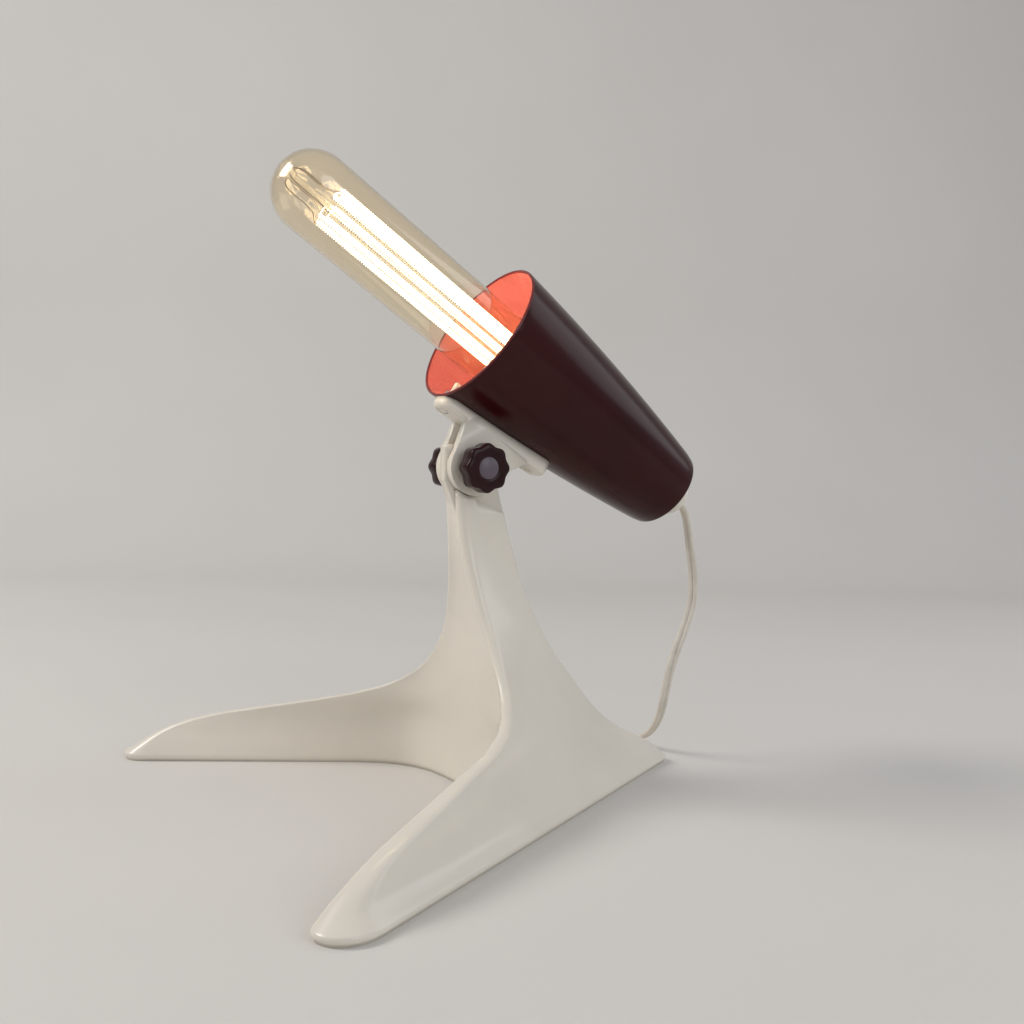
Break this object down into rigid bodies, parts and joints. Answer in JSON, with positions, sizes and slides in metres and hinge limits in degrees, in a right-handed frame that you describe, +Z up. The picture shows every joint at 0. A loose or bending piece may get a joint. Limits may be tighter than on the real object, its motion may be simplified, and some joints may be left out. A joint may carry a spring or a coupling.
{
  "type": "infrared heat therapy lamp",
  "caption": "Table-top infrared heat lamp: a conical shade with a long tubular bulb tilts between lobed knobs on a moulded three-point stand.",
  "frame": {"origin": "on the table, under the middle of the lamp's box without its cord", "axes": "+Z up, the mouth of the shade faces -Y, and the tilt pivot runs along X"},
  "size_m": [0.336, 0.3319, 0.3549],
  "materials": {
    "ivory_plastic": "glossy ivory-white moulding",
    "shade_enamel": "glossy dark maroon outside, coral red inside",
    "knob_plastic": "black-brown moulding",
    "disc_plastic": "greyish mauve",
    "zinc_steel": "bright plated steel",
    "brass": "turned brass",
    "fibre": "fibre washer",
    "black_plastic": "black phenolic",
    "porcelain": "glazed white ceramic",
    "lead_sleeve": "sleeved copper lead",
    "bulb_glass": "clear glass with a faint amber tint",
    "stem_glass": "clear glass",
    "bulb_metal": "bright",
    "support_wire": "fine grey wire",
    "filament_wire": "fine dark wire",
    "flex": "off-white twin flex",
    "tie_plastic": "flat moulded tie",
    "plug_plastic": "off-white moulding"
  },
  "bodies": {
    "stand": {"stand": "ivory_plastic", "cord_drop": "flex", "cord_coil": "flex", "cord_lead": "flex", "cord_tie": "tie_plastic", "plug_body": "plug_plastic", "plug_pins": "zinc_steel"},
    "head": {"saddle": "ivory_plastic", "pivot_stud": "zinc_steel", "friction_washer_right": "fibre", "friction_washer_left": "fibre", "shade": "shade_enamel", "saddle_screws": "zinc_steel", "saddle_nuts": "zinc_steel", "rear_cap": "ivory_plastic", "nipple": "brass", "nipple_nut": "zinc_steel", "holder_dome": "black_plastic", "holder_barrel": "black_plastic", "holder_core": "porcelain", "holder_shell": "brass", "holder_contact": "brass", "holder_terminals": "brass", "holder_leads": "lead_sleeve", "bulb_glass": "bulb_glass", "bulb_cap": "bulb_metal", "bulb_insulator": "black_plastic", "bulb_contact": "bulb_metal", "bulb_stem": "stem_glass", "bulb_supports": "support_wire", "bulb_filament": "filament_wire", "cord_end": "flex"},
    "washer_right": {"knob_washer_right": "zinc_steel"},
    "knob_right": {"knob_right": "knob_plastic", "knob_bush_right": "brass", "knob_disc_right": "disc_plastic"},
    "washer_left": {"knob_washer_left": "zinc_steel"},
    "knob_left": {"knob_left": "knob_plastic", "knob_bush_left": "brass", "knob_disc_left": "disc_plastic"}
  },
  "joints": [
    {"name": "head_tilt", "type": "hinge", "parent": "stand", "child": "head", "pos_m": [0, -0.00407, 0.1895], "axis": [1, 0, 0], "range_deg": [-40, 88]},
    {"name": "right_knob_travel", "type": "slide", "parent": "head", "child": "washer_right", "axis": [1, 0, 0], "range_m": [0, 0.002]},
    {"name": "right_knob_turn", "type": "hinge", "parent": "washer_right", "child": "knob_right", "pos_m": [0.017, -0.00407, 0.1895], "axis": [1, 0, 0], "range_deg": [0, 720]},
    {"name": "left_knob_travel", "type": "slide", "parent": "head", "child": "washer_left", "axis": [-1, 0, 0], "range_m": [0, 0.002]},
    {"name": "left_knob_turn", "type": "hinge", "parent": "washer_left", "child": "knob_left", "pos_m": [-0.017, -0.00407, 0.1895], "axis": [-1, 0, 0], "range_deg": [0, 720]}
  ],
  "couplings": [
    {"joint": "right_knob_travel", "follows": "right_knob_turn", "m_per_rad": 0.00015915},
    {"joint": "left_knob_travel", "follows": "left_knob_turn", "m_per_rad": 0.00015915}
  ]
}
